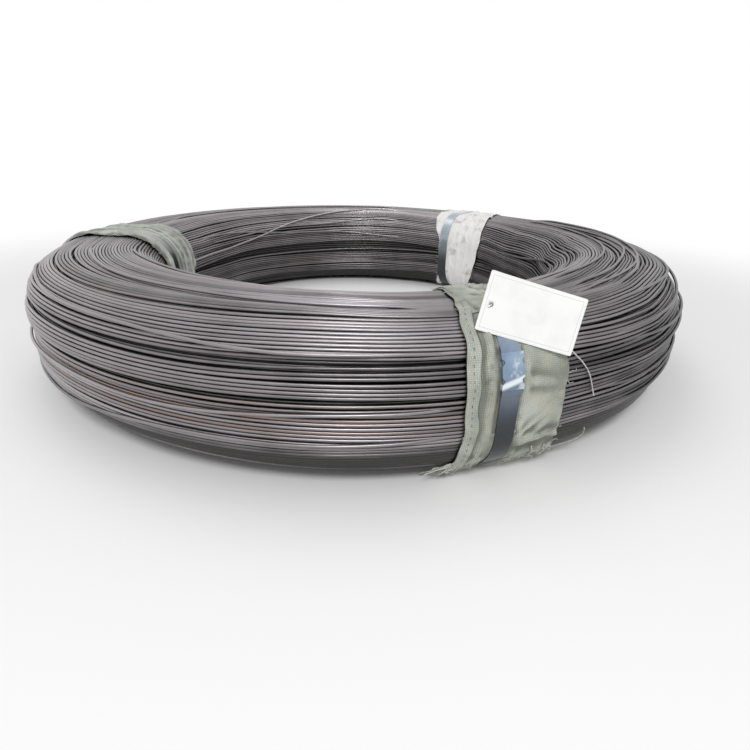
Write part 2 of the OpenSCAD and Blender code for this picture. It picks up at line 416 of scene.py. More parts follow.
def blued_steel(name, shades, low_shade, glint_bar=None):
    """Blued strapping with scuffs and paler rubbed patches, darker towards the floor as painted shade, and
    with a painted highlight for the seal.
    """
    made, look = material(name)
    where = look.where()
    x, _, z = look.split(where)
    scuffs = look.noise(where, scale=210, detail=4, roughness=0.7)
    colour = look.ramp(look.noise(where, scale=28), *zip((0.3, 0.52, 0.74), shades))
    rubbed = look.cut(scuffs, 6.0, -3.9)
    colour = look.mix(look.times(rubbed, RUBBED_SHARE), colour, RUBBED)
    # Painted shade, darkening towards the floor
    colour = look.mix(look.fade(z, low_shade[0] * MM, low_shade[1] * MM, LOW_SHADE_SHARE, 0.0), colour, LOW_SHADE)
    if glint_bar:
        # Painted highlight in a slanting bar near the seal's lower end, and in scattered spots
        height, half = glint_bar
        above = look.maths("SUBTRACT", look.line(x, -GLINT_SLOPE, z), height * MM)
        glint_mask = look.cut(look.maths("ABSOLUTE", above), -1 / (half * MM), 1.6)
        spots = look.cut(look.noise(where, scale=110, detail=2), 7.0, -4.0)
        glint_mask = look.maths("MAXIMUM", glint_mask, look.times(spots, GLINT_SPOTS))
        colour = look.mix(glint_mask, colour, GLINT_COLOUR)
    rough = look.line(scuffs, 0.22, 0.14)
    look.shade({"Base Color": colour, "Roughness": rough, "Metallic": 0.4, "Coat Weight": 0.15,
                "Coat Roughness": 0.2})
    look.relief(scuffs, strength=0.12, distance=0.0002)
    return made


def zinc_wire():
    """Bright galvanised binding wire with dull spots."""
    made, look = material("zinc_wire")
    spots = look.noise(look.where(), scale=320, detail=4)
    colour = look.ramp(spots, (0.3, (0.42, 0.43, 0.43)), (0.65, (0.70, 0.70, 0.69)))
    look.shade({"Base Color": colour, "Roughness": look.line(spots, 0.3, 0.25), "Metallic": 0.85})
    return made


def spun(name, scale, dark, light, roughness):
    """Yarn or thread with its fibres."""
    made, look = material(name)
    colour = look.ramp(look.noise(look.where(), scale), (0.3, dark), (0.7, light))
    look.shade({"Base Color": colour, "Roughness": roughness})
    return made


# Colour of the painted shade beside the straps, and how far it spreads
STRAP_EDGE_SHADE = (0.03, 0.032, 0.03)
STRAP_EDGE_SHADE_W = 7
TINT_SHARE = 0.4
STAIN_EDGE = 7.0
STAIN_MOST = 0.7


def woven_cloth(name, colour, shade, stain, stain_share, thread, gap_depth=0.32, tints=(), strap_edge_shade=0.3,
                crease_shade=0.6):
    """Plain weave on the cloth's own coordinates, in metres, with soft dirt, stains and faded patches, and
    painted shade in its creases and beside the strap.
    """
    made, look = material(name)
    where = look.where()
    flat = look.split(look.where("UV"))[:2]
    wander = look.times(look.noise(where, scale=60), 1.2 * thread)
    places = [look.maths("ADD", axis, wander) for axis in flat]
    lines = [look.maths("SINE", look.times(place, math.pi / thread)) for place in places]
    weave = look.times(*(look.maths("ABSOLUTE", line) for line in lines))
    height = look.line(look.times(*lines), 0.35, weave)
    height = look.line(look.noise(where, scale=500), 0.5, height)
    dirt = look.noise(where, scale=16, detail=6, roughness=0.65)
    base = look.ramp(dirt, (0.32, shade), (0.62, colour))
    for scale, tint in tints:
        patch = look.cut(look.noise(where, scale, detail=2), 5.0, -2.6)
        base = look.mix(look.times(patch, TINT_SHARE), base, tint)
    spots = look.noise(where, scale=34, detail=5, roughness=0.7)
    spots = look.cut(spots, STAIN_EDGE, -STAIN_EDGE * (1 - stain_share))
    base = look.mix(look.times(spots, STAIN_MOST), base, stain)
    # Painted shade beside the strap, patchy with the dirt
    edge = STRAP_W / 2
    beside = look.fade(look.maths("ABSOLUTE", flat[0]), edge * MM, (edge + STRAP_EDGE_SHADE_W) * MM, strap_edge_shade, 0.0)
    patchy = look.times(beside, look.cut(dirt, -1.6, 1.6))
    base = look.mix(patchy, base, STRAP_EDGE_SHADE)
    # Painted shade in the creases, in the stain colour
    base = look.mix(look.times(look.mark("crease"), crease_shade), base, stain)
    gaps = look.cut(weave, 1.4 * gap_depth, 1 - gap_depth)
    grey = look.add("CombineColor", Red=gaps, Green=gaps, Blue=gaps).outputs[0]
    look.shade({"Base Color": look.mix(1.0, base, grey, kind="MULTIPLY"), "Roughness": 0.92,
                "Sheen Weight": 0.15, "Sheen Roughness": 0.5, "Specular IOR Level": 0.2})
    look.relief(height, strength=0.5, distance=0.0006)
    return made


# Size of the card, and of the line printed round it
CARD_W = 90
CARD_H = 50
CARD_T = 0.5
CARD_LINE_IN = 3.2
CARD_LINE_W = 0.5
CARD_INK = (0.52, 0.44, 0.50)


def white_card():
    """Matt white card with paper fibre, faint smudges and one thin line round it."""
    made, look = material("white_card")
    where = look.where()
    smudge = look.noise(where, scale=28, detail=5, roughness=0.6)
    base = look.ramp(smudge, (0.28, (0.80, 0.80, 0.79)), (0.55, (0.90, 0.90, 0.89)))
    inside = [look.maths("SUBTRACT", (side / 2 - CARD_LINE_IN) * MM, look.maths("ABSOLUTE", axis))
              for side, axis in zip((CARD_W, CARD_H), look.split(look.where("UV")))]
    away = look.maths("ABSOLUTE", look.maths("MINIMUM", *inside))
    inked = look.maths("LESS_THAN", away, CARD_LINE_W / 2 * MM)
    worn = look.times(inked, look.line(smudge, 0.8, 0.1))
    look.shade({"Base Color": look.mix(worn, base, CARD_INK), "Roughness": 0.6})
    look.relief(look.noise(where, scale=900, detail=4), strength=0.15, distance=0.0002)
    return made


BLUED = ((0.12, 0.15, 0.205), (0.215, 0.275, 0.37), (0.32, 0.385, 0.475))
# Paler blued steel for the seals, lighter as painted light
BLUED_SEAL_LIT = ((0.13, 0.19, 0.285), (0.235, 0.325, 0.455), (0.37, 0.465, 0.58))
# Paler blued steel for the back strap, lighter as painted light
BLUED_BACK_LIT = ((0.25, 0.30, 0.34), (0.40, 0.46, 0.50), (0.54, 0.60, 0.62))
BLUED_DUSTY = ((0.19, 0.19, 0.19), (0.30, 0.30, 0.295), (0.42, 0.415, 0.40))
SHADES = {"front": BLUED, "back": BLUED_BACK_LIT, "left": BLUED_DUSTY}
# Heights between which the straps darken towards the floor, as painted shade
STRAP_SHADE_HEIGHTS = {"front": (60, 134), "back": (62, 116), "left": (124, 156)}

steel = drawn_wire()
STRAP_STEEL = {name: blued_steel(f"blued_{name}", SHADES[name], STRAP_SHADE_HEIGHTS[name]) for name in STRAP_SHADE_HEIGHTS}
seal_steel = blued_steel("blued_seal", BLUED_SEAL_LIT, STRAP_SHADE_HEIGHTS["front"], glint_bar=GLINT_BAR)
zinc = zinc_wire()
card = white_card()
yarn_look = spun("loose_yarn", scale=620, dark=(0.36, 0.375, 0.32), light=(0.62, 0.63, 0.57), roughness=0.95)
stitching = spun("stitch_thread", scale=700, dark=(0.13, 0.13, 0.11), light=(0.24, 0.24, 0.21), roughness=0.9)
CLOTH = {
    "front": woven_cloth(
        "khaki_cloth", colour=(0.58, 0.60, 0.53), shade=(0.25, 0.27, 0.22), stain=(0.13, 0.135, 0.11),
        stain_share=0.40, thread=0.0017, crease_shade=0.85,
        tints=((47, (0.37, 0.42, 0.45)), (58, (0.57, 0.54, 0.40)))),
    "back": woven_cloth(
        "white_cloth", colour=(0.99, 0.985, 0.975), shade=(0.92, 0.905, 0.89), stain=(0.33, 0.275, 0.235),
        stain_share=0.455, thread=0.0014, gap_depth=0.05, strap_edge_shade=0.12, crease_shade=0.1),
    "left": woven_cloth(
        "grey_cloth", colour=(0.66, 0.675, 0.625), shade=(0.31, 0.33, 0.285), stain=(0.15, 0.16, 0.14),
        stain_share=0.41, thread=0.0015, strap_edge_shade=0.95, crease_shade=0.85),
}


# Wire: one long spiral makes the outermost layer, over a second layer and a dark middle

TURNS = 133
STEPS = 168
SIDES = 8
PIECES = 3
TURNS_SEED = 11
# Where the wire starts, and the least room of a turn in wires
START = 268
ROOM = 1.01
# Places where the turns part: s, share of the free room, angle in the middle and half the angle it runs for
PARTINGS = [
    (272, 1.2, -2, 34), (227, 4.4, -14, 38), (208, 1.0, -12, 34), (194, 0.7, -30, 34), (177, 4.4, -8, 44),
    (164, 1.7, 2, 26), (145, 3.8, -10, 54), (137, 1.3, 6, 26), (124, 0.9, -4, 36), (110, 1.0, -20, 36),
    (242, 0.9, -44, 40), (173, 1.4, 310, 45), (317, 0.8, 330, 60), (20, 4.5, -12, 62), (58, 4.5, -12, 62),
    (440, 4.5, -12, 62), (474, 4.5, -12, 62), (508, 4.5, -12, 62),
    (160, 2.6, 70, 55), (198, 1.9, 56, 50), (129, 2.4, 56, 50), (95, 1.6, 80, 50), (228, 2.2, 90, 60),
    (264, 2.0, 80, 55), (293, 1.6, 100, 60), (322, 1.4, 70, 60), (370, 0.9, 20, 80), (415, 0.8, 100, 60),
    (336, 0.8, 200, 70), (357, 1.1, 200, 60), (395, 6.4, 194, 80), (434, 1.2, 195, 60), (325, 0.8, 225, 50),
    (267, 1.2, 200, 60), (254, 0.9, 235, 50), (142, 1.5, 215, 70), (182, 1.3, 190, 70), (110, 1.2, 180, 60),
    (218, 1.2, 235, 60),
]
# Share of a parting that is left away from its angles, and rounds of finding which turns part
LEAST_PARTING = 0.06
PLACING_ROUNDS = 8
# Shares of the free room that the other turns have: the most, how it varies along a turn, and the least
LOOSE_SHARE = 0.06
LOOSE_WAVES = 0.8
LEAST_SHARE = 0.004
# The turns lie deeper beside a parting: depth, its most at a wide one, and number of turns on each side
PARTING_DIP = 1.4
DIP_MOST = 1.2
PARTING_SIDE = 1.4
# The turns are tangled on the right: its angles, gaps there and elsewhere, where a gap opens, and depth
TANGLE_AT = (RIGHT_MIDDLE - 8, 66)
TANGLE_GAPS = 1.5
FREE_GAPS = 0.16
GAP_OPENS = 0.7
TANGLE_DEPTH = 0.9
# Depth of single turns, of pairs, which lie together, and of bands, with the bands' orders across and round
TURN_DEPTH = 0.36
PAIR_DEPTH = 0.38
BAND_DEPTH = 0.9
BAND_ORDERS = ((3, 16), (1, 5))
BAND_WAVES = 7
SUNK_TURNS = 17
SUNK_DEPTH = (1.2, 2.4)
SUNK_HALF = (40, 110)
# Limits of depth, and the share of it that is left under the ties
DEEPEST = -0.95 * WIRE_D
HIGHEST = 0.8
HELD_DEPTH = 0.12
# Tone of turns, its mean and spread, of pairs, along a turn and of groups of turns
TONE = (0.5, 0.09)
PAIR_TONE = 0.1
TONE_WAVES = 0.08
GROUP_TONE = 0.08
GROUP_ORDERS = ((9, 26), (1, 4))
GROUP_SEED = 107
# Warm turns: their share, how warm they are, and where they are warmest, in s and angle
WARM_SHARE = 0.3
WARM_MEAN = 0.45
WARM_WAVES = 0.4
WARM_MOST = 0.75
WARM_LEAST = 0.25
WARM_S = (125, 60)
WARM_AT = (340, 70)
# Painted shade and painted light in the turns' tone: how much, and where in s and angle
OUTSIDE_S = (135, 125)
RIGHT_PAINTED_SHADE = 0.53
RIGHT_AT = (76, 84)
RIGHT_LEAST = 0.5
RIGHT_OUTSIDE = 0.65
LEFT_PAINTED_LIGHT = 0.42
LEFT_AT = (304, 56)
BORE_PAINTED_SHADE = 0.17
BORE_S = (S_INNER + 22, 100)
UNDER_PAINTED_SHADE = 0.5
UNDER_FROM = 114
UNDER_FADE = 24
UNDER_BORE = 22


def part_turns(share, angle):
    """Which turns part, and where each turn's room begins, with every parting at its own s."""
    room = WIRE_D * ROOM / swell(angle)
    part = np.arange(STEPS) / STEPS
    places = [int(s / PERIMETER * TURNS) for s, *_ in PARTINGS]
    for _ in range(PLACING_ROUNDS):
        shares = share.copy()
        for place, (_, size, middle, half) in zip(places, PARTINGS):
            shares[place] += size * (LEAST_PARTING + bump(angle, middle, half))
        width = room + (PERIMETER - TURNS * room) * shares / shares.sum(axis=0)
        s = np.concatenate([np.zeros((1, STEPS)), np.cumsum(width, axis=0)])
        gaps = s[:-1] + np.where(part < 0.5, 1 + part, part) / 2 * width
        middles = [np.argmax(bump(angle, middle, half)) for _, _, middle, half in PARTINGS]
        found = [int(np.argmin(np.abs(gaps[:, at] - want[0]))) for at, want in zip(middles, PARTINGS)]
        if found == places:
            break
        places = found
    return places, s


def periodic(rng, count, angle, orders):
    """Smooth random rows round the circle, about 1 at most."""
    total = np.zeros((count, len(angle)))
    for order in orders:
        phase = rng.uniform(0, 2 * math.pi, (count, 1))
        total += rng.normal(0, 1, (count, 1)) * np.sin(np.radians(order * angle)[None] + phase)
    return total / math.sqrt(len(orders))


def bands(rng, angle, across, along):
    """Random bands of turns that lie side by side, about 1 at most."""
    turn = np.arange(TURNS)[:, None]
    total = np.zeros((TURNS, STEPS))
    for _ in range(BAND_WAVES):
        phase = 2 * math.pi * (rng.integers(*across) * turn / TURNS + rng.uniform(0, 1))
        total += np.sin(phase + np.radians(rng.integers(*along) * angle))
    return total / math.sqrt(BAND_WAVES)


def painted_shade_and_light(s, angle):
    """How much darker the turns' tone is painted: painted shade on the right, in the bore and below, and
    painted light on the left.
    """
    outside = near(s, *OUTSIDE_S)
    right = RIGHT_PAINTED_SHADE * bump(angle, *RIGHT_AT) * (RIGHT_LEAST + RIGHT_OUTSIDE * outside)
    left = LEFT_PAINTED_LIGHT * bump(angle, *LEFT_AT) * outside
    bore = BORE_PAINTED_SHADE * near(s, *BORE_S)
    from_bottom = np.minimum(s, PERIMETER - s + UNDER_BORE)
    return right - left + bore + UNDER_PAINTED_SHADE * smooth((UNDER_FROM - from_bottom) / UNDER_FADE)


def lay_of_turns(rng):
    """Tables of s, depth, tone and warmth for each turn at each step round the coil."""
    angle = START + 360 * np.arange(STEPS) / STEPS
    turn = np.arange(TURNS)
    pair = turn // 2
    loose = 1 - tightness(angle)
    tangle = bump(angle, *TANGLE_AT)

    def wavy(*orders):
        return periodic(rng, TURNS, angle, range(*orders))

    share = LOOSE_SHARE * rng.uniform(0, 1, (TURNS, 1)) ** 2 * (1 + LOOSE_WAVES * wavy(1, 5))
    lenses = np.maximum(wavy(2, 7) - GAP_OPENS, 0)
    share = share + TANGLE_GAPS * (FREE_GAPS + (1 - FREE_GAPS) * tangle) * lenses
    places, s = part_turns(np.maximum(share, LEAST_SHARE), angle)
    dip = np.zeros((TURNS, STEPS))
    for place, (_, size, middle, half) in zip(places, PARTINGS):
        beside = hump(turn - place - 0.5, PARTING_SIDE)[:, None]
        dip = np.maximum(dip, PARTING_DIP * min(size / 2, DIP_MOST) * beside * bump(angle, middle, half))
    depth = TURN_DEPTH * wavy(3, 15)
    depth += PAIR_DEPTH * wavy(1, 8)[pair]
    depth += BAND_DEPTH * bands(rng, angle, *BAND_ORDERS)
    for _ in range(SUNK_TURNS):
        sunk = rng.integers(TURNS)
        deep = rng.uniform(*SUNK_DEPTH)
        depth[sunk] -= deep * bump(angle, rng.uniform(0, 360), rng.uniform(*SUNK_HALF))
    depth = depth * (1 + TANGLE_DEPTH * tangle) - dip
    depth = np.clip(depth, DEEPEST, HIGHEST) * (HELD_DEPTH + (1 - HELD_DEPTH) * loose)
    depth = np.where(depth > 0, depth * loose, depth)
    tone = rng.normal(*TONE, (TURNS, 1)) + PAIR_TONE * rng.normal(0, 1, (TURNS, 1))[pair]
    # The turns' tone takes the painted shade and painted light by place on the coil
    tone = tone - painted_shade_and_light(s[:-1], angle) + TONE_WAVES * wavy(1, 8)
    tone += GROUP_TONE * bands(np.random.default_rng(GROUP_SEED), angle, *GROUP_ORDERS)
    warm = (rng.uniform(0, 1, (TURNS, 1)) < WARM_SHARE) * (WARM_MEAN + WARM_WAVES * wavy(1, 6))
    low_front = near(s[:-1], *WARM_S) * bump(angle, *WARM_AT)
    warm = np.clip(warm, 0, WARM_MOST) * (WARM_LEAST + (1 - WARM_LEAST) * low_front)
    return angle, s, *(np.concatenate([table, table[:1]]) for table in (depth, tone, warm))


def wound(table):
    """A table's values along one long wire, which moves on by a turn's place while it goes once round."""
    part = np.arange(table.shape[1]) / table.shape[1]
    return ((1 - part) * table[:-1] + part * table[1:]).ravel()


def wire_piece(name, points, faces, **marks):
    piece = mesh_object(name, points, faces, steel, **marks)
    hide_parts("wire_coil")


def make_turns():
    angle, *tables = lay_of_turns(np.random.default_rng(TURNS_SEED))
    s, depth, tone, warm = (wound(table) for table in tables)
    points, outward = bundle(s, depth, np.tile(angle, TURNS))
    per_piece = math.ceil(TURNS / PIECES) * STEPS
    for number in range(PIECES):
        rows = slice(number * per_piece, min((number + 1) * per_piece + 1, len(points)))
        vertices, *faces = tube(points[rows], outward[rows], WIRE_R, SIDES)
        marks = {"tone": np.repeat(tone[rows], SIDES), "warm": np.repeat(warm[rows], SIDES)}
        wire_piece(f"wire_turns_{number + 1}", vertices, faces, **marks)


UNDER_TURNS = 128
UNDER_STEPS = 108
UNDER_SIDES = 5
UNDER_SEED = 12
# How far out the second layer lies, how much it varies and rises, its drift in s, and its tone, kept very
# dark as painted shade
UNDER_OUT = -1.2 * WIRE_D
UNDER_WAVES = 0.5
UNDER_RISE = 0.4
UNDER_DRIFT = 1.2
UNDER_SHADE_TONE = (0.04, 0.07)


def make_under_turns():
    """The layer that shows through the partings, dark with painted shade."""
    rng = np.random.default_rng(UNDER_SEED)
    angle = START + 360 * np.arange(UNDER_STEPS) / UNDER_STEPS
    round_it = np.tile(angle, UNDER_TURNS)
    drift = UNDER_DRIFT * periodic(rng, UNDER_TURNS, angle, range(1, 4))
    s = np.arange(UNDER_TURNS + 1)[:, None] * PERIMETER / UNDER_TURNS
    s = wound(s + np.concatenate([drift, drift[:1]]))
    depth = UNDER_OUT + UNDER_WAVES * periodic(rng, UNDER_TURNS, angle, range(2, 8)).ravel()
    points, outward = bundle(s, np.minimum(depth, UNDER_OUT + UNDER_RISE), round_it)
    vertices, *faces = tube(points, outward, WIRE_R, UNDER_SIDES)
    # Very dark tone as painted shade, with the painted shade by place on top
    tone = np.repeat(rng.normal(*UNDER_SHADE_TONE, UNDER_TURNS), UNDER_STEPS) - np.maximum(painted_shade_and_light(s, round_it), 0)
    wire_piece("wire_under", vertices, faces, tone=np.repeat(tone, UNDER_SIDES))


CORE_OUT = -1.85 * WIRE_D
CORE_STEPS = 120
CORE_POINTS = 72


def make_core():
    """Filling behind the two layers of turns, at the wire's darkest tone as painted shade."""
    angle = np.repeat(360 * np.arange(CORE_STEPS) / CORE_STEPS, CORE_POINTS)
    s = np.tile(PERIMETER * np.arange(CORE_POINTS) / CORE_POINTS, CORE_STEPS)
    points, _ = bundle(s, CORE_OUT, angle)
    quads = grid_faces(CORE_STEPS + 1, CORE_POINTS, wrap=True)[:, ::-1] % len(points)
    # Tone 0, the darkest wire, as painted shade
    wire_piece("wire_core", points, [quads], tone=np.zeros(len(points)))


# Stray turns that run across the others: first angle and s, last angle and s, and tone
STRAYS = [
    (27, 150, 126, 176, 0.6), (29, 184, 122, 206, 0.6), (27, 214, 124, 190, 0.55),
    (30, 108, 124, 134, 0.5), (28, 246, 126, 230, 0.6), (30, 290, 124, 270, 0.55),
    (27, 132, 108, 118, 0.5), (160, 262, 258, 284, 0.6), (158, 372, 256, 350, 0.5),
    (160, 336, 250, 362, 0.55), (158, 150, 262, 176, 0.6), (290, 128, 374, 140, 0.6),
    (288, 262, 374, 248, 0.6), (160, 118, 258, 100, 0.5), (288, 200, 374, 188, 0.55),
    (30, 340, 124, 372, 0.5), (290, 310, 374, 332, 0.55), (289, 96, 374, 112, 0.5),
    (34, 172, 112, 152, 0.55), (36, 118, 118, 148, 0.55), (40, 238, 120, 262, 0.6),
    (32, 264, 104, 244, 0.55),
]
# The loose wire that crosses the bore's back wall: angles and s, how far its bends are eased, and tone
LOOSE_WIRE = [(268, 383), (258, 381), (239, 377), (224, 365.5), (212, 348), (200, 332), (190, 319),
              (175, 304), (158, 296)]
LOOSE_ROUND = 7
LOOSE_TONE = 0.95
STRAY_SEED = 13
STRAY_STEPS = 110
STRAY_SWAY = 2.5
STRAY_OUT = 0.97 * WIRE_D
STRAY_DIVE = -0.9 * WIRE_D
DIVE_SHARE = 0.13


def stray(s, angle, at):
    """A wire that lies on the others, with its two ends dipping in between them."""
    rise = smooth(at / DIVE_SHARE) * smooth((1 - at) / DIVE_SHARE)
    points, outward = bundle(s, STRAY_DIVE + rise * (STRAY_OUT - STRAY_DIVE), angle)
    return tube(points, outward, WIRE_R, SIDES)


def make_strays():
    rng = np.random.default_rng(STRAY_SEED)
    parts, tones = [], []
    at = np.linspace(0, 1, STRAY_STEPS)
    for first, first_s, last, last_s, tone in STRAYS:
        angle = first + at * (last - first)
        sway = STRAY_SWAY * waves(at, rng, (0.9, 0.47)) * 4 * at * (1 - at)
        s = first_s + smooth(at) * (last_s - first_s) + sway
        parts.append(stray(s, angle, at))
        # The strays take the same painted shade and painted light
        tones.append(np.repeat(tone - painted_shade_and_light(s, angle), SIDES))
    places, heights = np.array(LOOSE_WIRE, float).T
    angle = places[0] + at * (places[-1] - places[0])
    s = np.pad(np.interp(-angle, -places, heights), LOOSE_ROUND, "edge")
    parts.append(stray(eased(s, LOOSE_ROUND), angle, at))
    tones.append(np.full(len(at) * SIDES, LOOSE_TONE))
    wire_piece("wire_strays", *joined(parts), tone=np.concatenate(tones))


make_turns()
make_under_turns()
make_core()
make_strays()


# Cloth pads

PAD_SEED = 31
PAD_ROWS = 250
PAD_COLUMNS = 56
CLOTH_T = 0.75
# How far off the turns' crests the cloth's inside lies, and its outside under the strap and the seal's legs
CLOTH_IN = 0.2
UNDER_STRAP = 1.8
BEHIND_SEAL = 0.62
LAP = 26
FLOOR_GAP = 0.12
EDGE_WAVE = 1.3
# Place of the cloth's visible end on the lower outer bend
CLOTH_END = {"front": 86, "back": 74, "left": 66}
# Where each cloth's two edges lie: s, and their distances from the strap's middle
EDGES = {
    "front": [(0, -40, 56), (60, -42, 60), (100, -40, 61), (136, -39, 61), (168, -41, 59), (203, -36, 54),
              (227, -30, 48), (259, -20, 40), (296, -12, 32), (340, -14, 28), (398, -20, 28), (470, -32, 42)],
    "back": [(0, -72, 36), (133, -68, 40), (230, -66, 42), (282, -78, 40), (328, -86, 33), (356, -86, 18),
             (372, -85, 9), (400, -82, 8), (434, -72, 8), (460, -62, 16), (500, -68, 32)],
    "left": [(0, -68, 42), (110, -74, 36), (190, -80, 26), (255, -84, 24), (300, -86, 38), (330, -84, 44),
             (371, -78, 47), (400, -74, 44), (470, -68, 42)],
}
EDGE_ROUND = 21
# Where long folds lie across the bunched cloths, and their height
LONG_FOLDS = {"back": ((-70, -52, -36, -20, 18), 2.2), "left": ((-64, -47, -31, -17, 18), 2.6)}
# The roll along the left cloth's right edge: height, its least share, where in s it is highest, distance from
# the edge and width
ROLL_H = 9
ROLL_LEAST = 0.4
ROLL_S = (345, 85)
ROLL_IN = 12
ROLL_W = 8
# The front cloth's hem: full and least width, distance from the strap, and width of the painted shadow in the
# crease beside it
HEM_W = 11.5
HEM_LEAST = 2.5
HEM_OFF = 2
HEM_SHADOW_W = 2.0
# The front cloth's long pleat: distance from the hem, height, width and sway
PLEAT_OFF = 8
PLEAT_H = 3.4
PLEAT_W = 3.4
PLEAT_SWAY = 1.2
# The front cloth's short creases: s, most slope, width, height, start beside the strap, end and its fading
CREASES = 12
CREASE_S = (90, 420)
CREASE_SLOPE = 0.8
CREASE_W = (2.5, 5)
CREASE_H = (0.8, 2.0)
CREASE_START = (8, 8)
CREASE_END = 56
CREASE_FADE = (14, 34)
# Slack and crumpled cloth: distance from the strap's middle where both begin, and their heights and runs
STRAP_CLEAR = 10
SLACK_H = 0.7
SLACK_RUN = 10
CRUMPLE_H = 0.35
CRUMPLE_RUN = 8
# The long folds' sway, mean share of their height and how it varies, least height, and width
LONG_SWAY = 2.5
LONG_SIZE = (0.7, 0.4)
LONG_LEAST = 0.3
LONG_W = (2.6, 4.4)
# Depth at which a crease gets its full painted shade
CREASE_SHADE_DEPTH = 0.8
# The cloth puffs out beside the strap: height, distance and width
PUFF = (0.9, 6, 3.4)
# Where the cloth gets free of the strap: distance from its edge, and run
FREE_START = (0.6, 4)
# The cloth's edges lift here and there: height, and how far in
LIFT = (1.6, 9)
# How far in from its visible end the cloth is uneven, by how much, and the turned-up end's height, width and
# start beside the strap
END_RUN = 18
END_TORN = 3.0
END_ROLL = (1.7, 4)
END_ROLL_START = (2, 4)
# How far the front cloth's visible end hangs down on its right and left, and from where on, in half widths
END_RIGHT = 9
END_LEFT = 12
END_RIGHT_FROM = (-0.05, 0.15)
END_LEFT_FROM = (0.35, 0.2)
# The fold across the front cloth's right foot, below which it is tucked under: s, height and width
FOOT_FOLD = (101, 3.2, 2.6)
# Its sway, and its start beside the strap
FOOT_SWAY = 1.2
FOOT_START = (9, 6)
# Where the ends lap: the upper one's height, distance from the strap and fading, and the lower one's start
LAP_OUT = CLOTH_IN + 2.2 * CLOTH_T
LAP_BESIDE = 4
LAP_FADE = 16
LAP_BELOW = (PERIMETER - 6, 10)
# The cloth's thickness behind a seal, how near the crests its inside may come, and the cells round a crease
# for its painted shade
SEALED_T = 0.7 * CLOTH_T
LEAST_IN = 0.4 * CLOTH_IN
PAD_BLUR = (4, 3)
# How far a seal's zone reaches past it, in degrees of the section and across, its fading, and its limit
SEAL_PAST_TURN = 3
SEAL_PAST = 3
SEAL_FADE = 2
SEAL_LIMIT = 0.02
# Least gap between a cloth's two sides by the floor, and the height that counts as by the floor
SIDE_GAP = 0.05
BY_FLOOR = 3 * CLOTH_T


def over_bundle(tie, s, across, out, half=0):
    """Points of a tie: s along the section, across it along the coil, out from the turns' crests, and at
    least half over the floor's gap. Gives the points and the directions out of the bundle there."""
    angle = np.full(np.shape(s), float(tie))
    for _ in range(3):
        points = bundle(s, WIRE_R + out, angle)[0]
        rho = np.hypot(points[..., 0], points[..., 1])
        angle = tie + np.degrees(np.arcsin(np.clip(across / rho, -1, 1)))
    points, outward = bundle(s, WIRE_R + out, angle)
    points[..., 2] = np.maximum(points[..., 2], FLOOR_GAP + half)
    return points, outward


def seal_zone(s, across):
    """1 where the seal's legs lie behind the strap, 0 a little way off."""
    turn = np.interp(np.mod(s, PERIMETER), KNOT_S, KNOT_TURN)
    along = smooth((SEAL_HALF_TURN + SEAL_PAST_TURN - np.abs(turn - SEAL_TURN)) / SEAL_PAST_TURN)
    return along * smooth((SEAL_W / 2 + SEAL_PAST - np.abs(across)) / SEAL_FADE)


def blurred(table, *reaches):
    """Mean of a table over so many cells on each side, along its rows and its columns."""
    for axis, reach in enumerate(reaches):
        padded = np.pad(table, [(reach, reach) if axis == a else (0, 0) for a in range(2)], "edge")
        moved = [np.take(padded, range(k, k + table.shape[axis]), axis) for k in range(2 * reach + 1)]
        table = sum(moved) / len(moved)
    return table


def painted_crease_shade(height, *reaches):
    """How much painted shade a crease gets: up to 1 where the cloth lies deeper than what is round it."""
    return np.clip((blurred(height, *reaches) - height) / CREASE_SHADE_DEPTH, 0, 1)


def hem_share(left):
    """Share of its full width that the hem has, as it is pressed narrow where it comes close to the strap."""
    return np.clip(-STRAP_W / 2 - HEM_OFF - left, HEM_LEAST, HEM_W) / HEM_W


def pad_edges(name, s, rng):
    """Where the cloth's two uneven edges lie at s."""
    places, *sides = np.array(EDGES[name], float).T
    around = np.arange(PERIMETER)
    edges = []
    for side in sides:
        line = np.interp(around, places, side, period=PERIMETER)
        line = eased(np.concatenate([line[-EDGE_ROUND:], line, line[:EDGE_ROUND]]), EDGE_ROUND)
        edges.append(np.interp(s, around, line, period=PERIMETER) + EDGE_WAVE * waves(s, rng, (170, 71, 37)))
    return edges


def folds_front(s, across, low, rng):
    """A long pleat beside the hem, short creases off the strap, slack beside it and a folded foot."""
    pleat_at = low + HEM_W + PLEAT_OFF + PLEAT_SWAY * waves(s, rng, (190, 83))
    pleat = PLEAT_H * hump(across - pleat_at, PLEAT_W) * (0.75 + 0.25 * waves(s, rng, (140, 61)))
    crease = 0.0
    for _ in range(CREASES):
        middle = rng.uniform(*CREASE_S)
        slope = rng.uniform(-CREASE_SLOPE, CREASE_SLOPE)
        ridge = hump(s - middle - slope * (across - STRAP_CLEAR), rng.uniform(*CREASE_W))
        reach = step(across, *CREASE_START) * smooth((CREASE_END - across) / rng.uniform(*CREASE_FADE))
        crease = crease + rng.uniform(*CREASE_H) * ridge * reach
    slack = SLACK_H * (1 + waves(s + 0.4 * across, rng, (97, 52)))
    slack = slack * step(np.abs(across), STRAP_CLEAR, SLACK_RUN)
    place, height, width = FOOT_FOLD
    place = place + FOOT_SWAY * waves(across, rng, (44, 23))
    return pleat + crease + slack + height * hump(s - place, width) * step(across, *FOOT_START)


